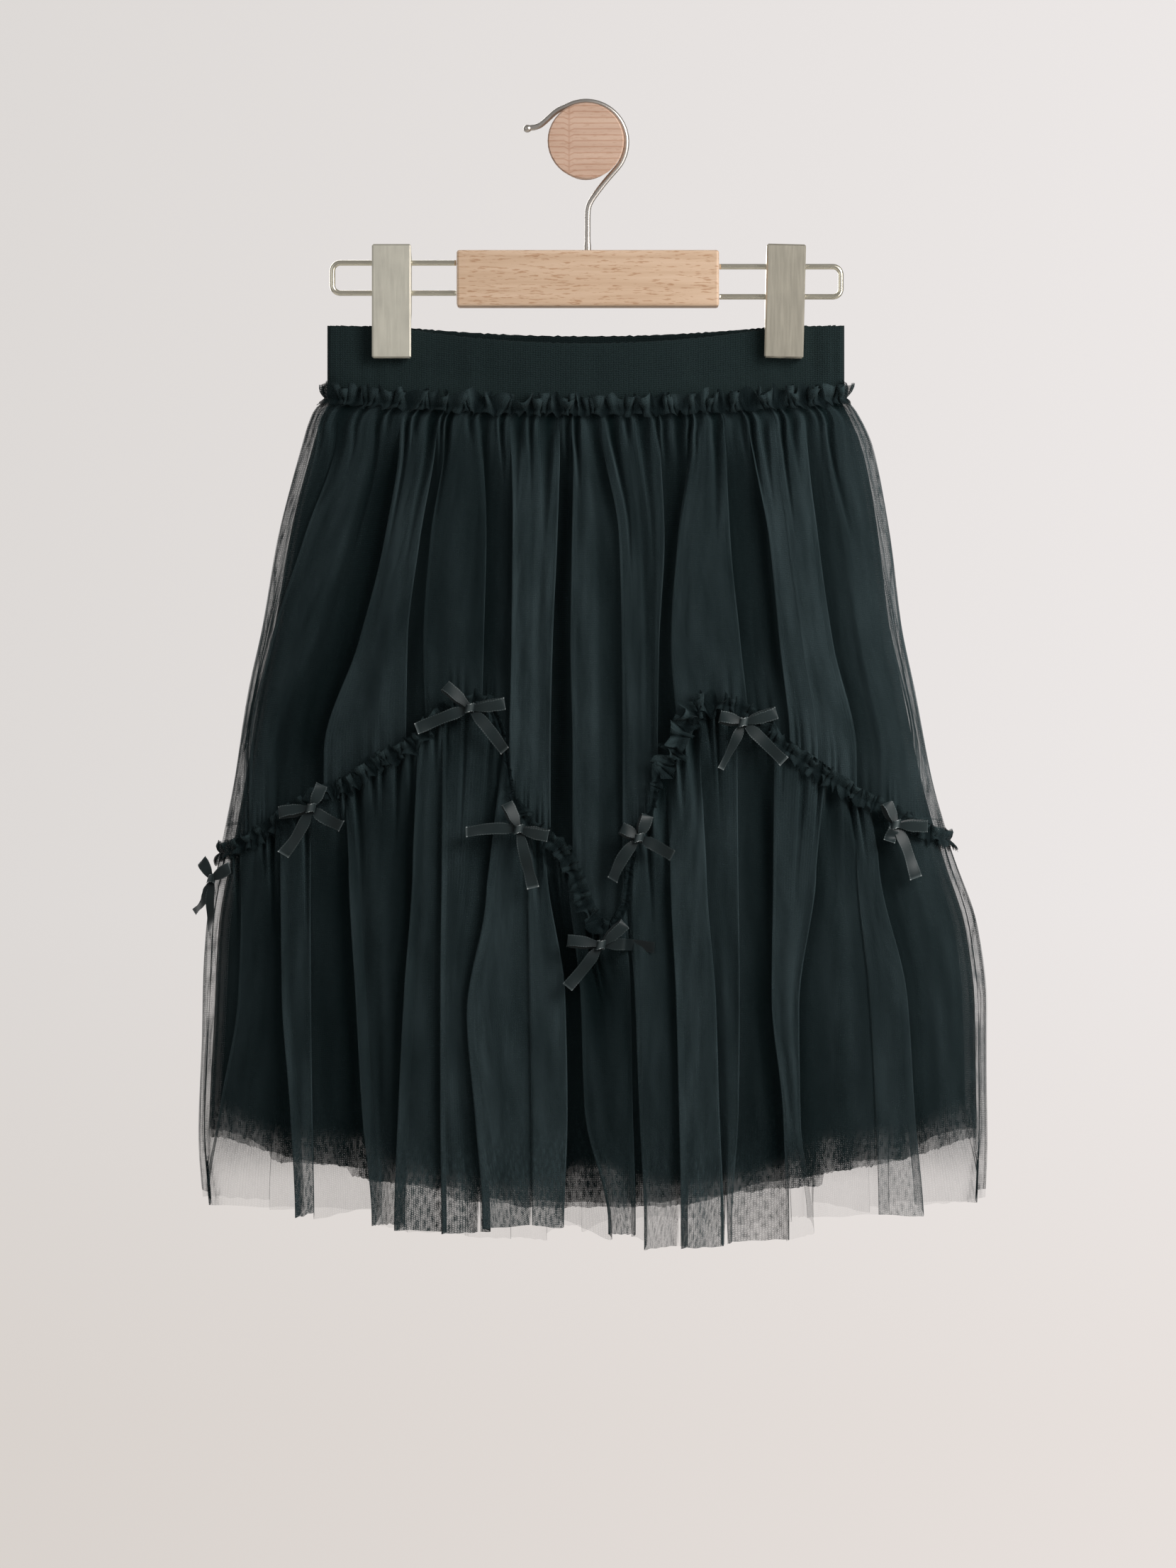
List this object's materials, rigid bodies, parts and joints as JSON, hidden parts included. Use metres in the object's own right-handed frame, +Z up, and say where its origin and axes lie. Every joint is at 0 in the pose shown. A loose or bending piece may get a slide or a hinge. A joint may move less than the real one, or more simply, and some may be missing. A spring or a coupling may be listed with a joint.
{
  "type": "mesh skirt on a hanger and wall peg",
  "caption": "Gathered mesh skirt with elastic waist, ruffled wavy tier trimmed with ribbon bows, clipped to a wooden trouser hanger on a round wall peg.",
  "frame": {"origin": "centre of the peg's flat back face, on the wall", "axes": "+X to the viewer's right, +Y into the wall, +Z up; the front of the skirt faces -Y"},
  "size_m": [0.404, 0.0798, 0.5794],
  "materials": {
    "mesh_net": "fine black-green polyester net, matt with a slight sheen along the folds",
    "lining_cloth": "plain woven black lining, matt",
    "ribbed_elastic": "wide black elastic, fine ribs, matt",
    "satin_ribbon": "black satin ribbon, soft sheen, woven edges",
    "beech": "pale beech with short flecks, matt lacquer",
    "champagne_metal": "pale champagne plating, satin",
    "polished_steel": "nickel-plated wire, polished"
  },
  "bodies": {
    "root": {"peg": "beech", "bar": "beech", "hook": "polished_steel", "wire_loop_left": "champagne_metal", "wire_loop_right": "champagne_metal", "clip_left_front": "champagne_metal", "clip_left_back": "champagne_metal", "clip_right_front": "champagne_metal", "clip_right_back": "champagne_metal", "waistband": "ribbed_elastic", "waist_frill_front": "mesh_net", "waist_frill_back": "mesh_net", "upper_front": "mesh_net", "upper_back": "mesh_net", "tier_front": "mesh_net", "tier_back": "mesh_net", "tier_frill_front": "mesh_net", "tier_frill_back": "mesh_net", "net_underlayer_front": "mesh_net", "net_underlayer_back": "mesh_net", "lining_front": "lining_cloth", "lining_back": "lining_cloth", "bow_1": "satin_ribbon", "bow_2": "satin_ribbon", "bow_3": "satin_ribbon", "bow_4": "satin_ribbon", "bow_5": "satin_ribbon", "bow_6": "satin_ribbon", "bow_7": "satin_ribbon", "bow_8": "satin_ribbon", "bow_9": "satin_ribbon", "bow_10": "satin_ribbon", "bow_11": "satin_ribbon", "bow_12": "satin_ribbon", "bow_13": "satin_ribbon"}
  },
  "joints": []
}
